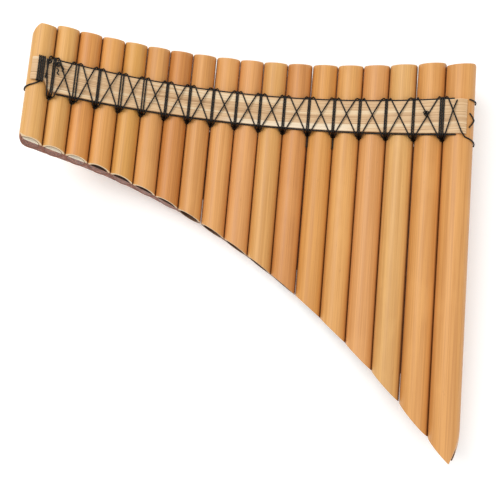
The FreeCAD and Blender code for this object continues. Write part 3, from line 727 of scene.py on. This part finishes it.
def round_tube(index, angles, heights):
    radius = diameter(index) / 2 + CORD_RADIUS + CORD_GAP
    points = []
    steps = np.linspace(0, len(angles) - 1, 8 * (len(angles) - 1) + 1)
    numbers = list(range(len(angles)))
    for step in steps:
        turn = math.radians(float(np.interp(step, numbers, angles)))
        y = float(np.interp(step, numbers, heights))
        points.append(beside(CENTRES[index], math.sin(turn) * radius, math.cos(turn) * radius, y))
    return points


def end_tie_routes():
    first, gap = CENTRES[0], GAPS[0]
    across = WHIPPING_CENTRE + END_TIE_OFFSET
    front = cord_out(first, 1)
    upper = beside(first, across, front, slat_top(first) - END_TIE_INSET)
    lower = beside(first, across, front, slat_bottom(first) + HEEL_NOTCH + END_TIE_INSET)
    to_bottom, to_top = tuck(gap, -1, -1), tuck(gap, -1, 1)
    ride = over(lower, to_top[0], (upper, to_bottom[0]), first + across, NARROW_CORD_LIFT)
    height = slat_bottom(first) + HEEL_NOTCH
    angles = (2, -8, -30, -60, -90, -115)
    drops = (0.2, 1.3, 2.9, 4.0, 4.9, 5.6)
    around = round_tube(0, angles, [height - drop for drop in drops])
    routes = [
        rounded([upper] + to_bottom, CROSS_BEND),
        rounded([lower, ride] + to_top, CROSS_BEND),
        rounded(around, TIE_BEND),
    ]
    gap, last = GAPS[-1], TUBE_COUNT - 1
    front = cord_out(gap, 1)
    top, bottom = slat_top(CENTRES[-1]), slat_bottom(CENTRES[-1])
    from_top, to_bottom = tuck(gap, 1, 1), tuck(gap, 1, -1)
    fall_end = beside(gap, LAST_FALL, front + 0.6, bottom + 0.4)
    rise_start = beside(gap, LAST_RISE, front + 0.3, top - 0.8)
    ride = over(rise_start, to_bottom[0], (from_top[0], fall_end), CENTRES[-1] - 3, NARROW_CORD_LIFT)
    around = round_tube(last, (32, 60, 90, 115), [bottom - drop for drop in (2.0, 3.2, 4.4, 5.2)])
    top_piece = round_tube(last, (44, 68, 92, 115), [top + 0.7] * 4)
    hook = round_tube(last, (48, 78, 48), (top - 8.5, top - 12.5, top - 18.5))
    routes.append(rounded(list(reversed(from_top)) + [fall_end] + around, CROSS_BEND))
    routes.append(rounded([rise_start, ride] + to_bottom, CROSS_BEND))
    routes.append(rounded(top_piece, TIE_BEND))
    routes.append(rounded(hook, CROSS_BEND))
    return routes


def knot_routes_at(gap, across, y, level):
    """A pulled-down knot: one loop of three turns over another turned between its arms."""
    loops = ((0.0, 1.0), (SECOND_LOOP_TURN, SECOND_LOOP_SHARE))
    return [knot_route(gap, across, y, level, twist, share) for twist, share in loops]


def knot_route(gap, across, y, level, twist, share):
    rest = slat_outer(gap, 1) + level * (2 * CORD_RADIUS + CORD_GAP) + CORD_GAP
    middle = rest + KNOT_CORD_RADIUS + KNOT_RISE
    points = []
    for number in range(KNOT_STEPS + 1):
        turn = KNOT_OPENING + (2 * math.pi - 2 * KNOT_OPENING) * number / KNOT_STEPS
        flat_side = KNOT_SIZE * share * (math.sin(turn) + 2 * math.sin(2 * turn))
        flat_up = KNOT_SIZE * share * (math.cos(turn) - 2 * math.cos(2 * turn))
        side = flat_side * math.cos(twist) - flat_up * math.sin(twist)
        up = flat_side * math.sin(twist) + flat_up * math.cos(twist)
        points.append(beside(gap, across + side, middle - KNOT_RISE * math.sin(3 * turn), y + up))
    return points


def knot_routes():
    first, last_full = CENTRES[0], CENTRES[-2]
    routes = knot_routes_at(first, 3.4, slat_top(first) - 2.8, 2.1)
    routes += knot_routes_at(GAPS[0], 2.2, slat_top(first) - 3.0, 1)
    return routes + knot_routes_at(last_full, -0.7, slat_top(last_full) - 10.2, 2.2)


def tail_routes():
    gap = GAPS[0]
    out = cord_out(gap, 1) + 2 * CORD_RADIUS + 2 * CORD_GAP
    curls = (
        ((1.4, -5.6), (3.0, -6.8), (2.2, -8.8), (3.6, -10.2)),
        ((4.7, -3.6), (6.0, -5.2), (5.0, -7.2)),
    )
    routes = []
    for curl in curls:
        points = [beside(gap, across, out, slat_top(gap) + y) for across, y in curl]
        routes.append(rounded(points, WHIPPING_BEND))
    for number in TAIL_GAP_NUMBERS:
        gap = GAPS[number - 1]
        start = slat_bottom(gap) - PASSAGE_MARGIN - PASSAGE_HEIGHT - 2 * CORD_GAP
        ends = ((0, start), (0.1, start - 4.8), (-0.1, start - TAIL_LENGTH))
        routes.append(rounded([beside(gap, across, TAIL_OUT, y) for across, y in ends], CORD_BEND))
    return routes


thread_piece("gap_wraps", gap_wrap_routes())
thread_piece("cross_lashing", cross_routes())
thread_piece("front_edge_cords", front_edge_routes())
thread_piece("back_edge_cords", back_edge_routes())
thread_piece("end_whipping", whipping_routes())
thread_piece("end_ties", end_tie_routes())
thread_piece("knots", knot_routes(), KNOT_CORD_RADIUS)
thread_piece("cord_tails", tail_routes())

# ------------------------------------------------------------------ floor, light and camera


FLOOR_GLOW = 0.14
KEY_POWER = 12.2
FILL_POWER = 5.0
ROOM_STRENGTH = 0.54
SENSOR_WIDTH = 36.0
LENS = 47.23
FIT_SHIFT = 0.75                   # along the row, of the fitted viewpoint


def floor():
    mesh = bpy.data.meshes.new("floor")
    maker = bmesh.new()
    bmesh.ops.create_grid(maker, x_segments=8, y_segments=8, size=6.0)
    maker.to_mesh(mesh)
    maker.free()
    thing = bpy.data.objects.new("floor", mesh)
    thing.location.z = -0.0002
    bpy.context.scene.collection.objects.link(thing)
    t = Tree("pale_floor")
    coordinates = t.add("ShaderNodeTexCoord")
    cloud = t.noise(coordinates.outputs["Object"], (3, 3, 3), (0, 0, 0), 2.0)
    t.link(t.mix(cloud, linear((250, 250, 250)), linear((253, 253, 252))), t.shader.inputs["Base Color"])
    t.shader.inputs["Roughness"].default_value = 0.9
    t.shader.inputs["Emission Color"].default_value = (1.0, 1.0, 1.0, 1.0)
    t.shader.inputs["Emission Strength"].default_value = FLOOR_GLOW
    mesh.materials.append(t.material)


def area_light(name, location, target, size, power, colour=(1.0, 1.0, 1.0)):
    data = bpy.data.lights.new(name, "AREA")
    data.shape = "DISK"
    data.size = size
    data.energy = power
    data.color = colour
    thing = bpy.data.objects.new(name, data)
    thing.location = location
    thing.rotation_euler = (Vector(target) - Vector(location)).to_track_quat("-Z", "Y").to_euler()
    bpy.context.scene.collection.objects.link(thing)


def camera():
    """The photograph's viewpoint: 46 cm out of the hollow side and 19 cm below the mouths."""
    tilt, yaw, roll = math.radians(-7.35), math.radians(0.73), math.radians(-5.09)
    offset = Vector((4.3, 131.77, -475.76))
    turn = Matrix.Rotation(roll, 3, "Z") @ Matrix.Rotation(tilt, 3, "X") @ Matrix.Rotation(yaw, 3, "Y")
    to_fit = turn.transposed()
    spot = to_fit @ (-offset)
    level = Matrix.Rotation(-ROW_TURN, 3, "Y")
    spot = level @ (spot + Vector((FIT_SHIFT, 0, 0)))
    axes = PITCH_TURN @ level @ to_fit
    data = bpy.data.cameras.new("camera")
    data.sensor_width = SENSOR_WIDTH
    data.lens = LENS
    data.clip_start = 0.01
    data.clip_end = 20
    thing = bpy.data.objects.new("camera", data)
    thing.matrix_world = Matrix.Translation(laid(spot)) @ axes.to_4x4()
    bpy.context.scene.collection.objects.link(thing)
    bpy.context.scene.camera = thing


floor()
area_light("key", (-0.55, 0.35, 1.3), (0, 0, 0), 1.1, KEY_POWER, (1.0, 0.985, 0.96))
area_light("fill", (0.7, -0.5, 1.2), (0, 0, 0), 1.4, FILL_POWER)
world = bpy.data.worlds.new("soft_room")
world.use_nodes = True
world.node_tree.nodes["Background"].inputs["Color"].default_value = (1.0, 1.0, 1.0, 1.0)
world.node_tree.nodes["Background"].inputs["Strength"].default_value = ROOM_STRENGTH
bpy.context.scene.world = world
bpy.context.scene.view_settings.view_transform = "Standard"
camera()
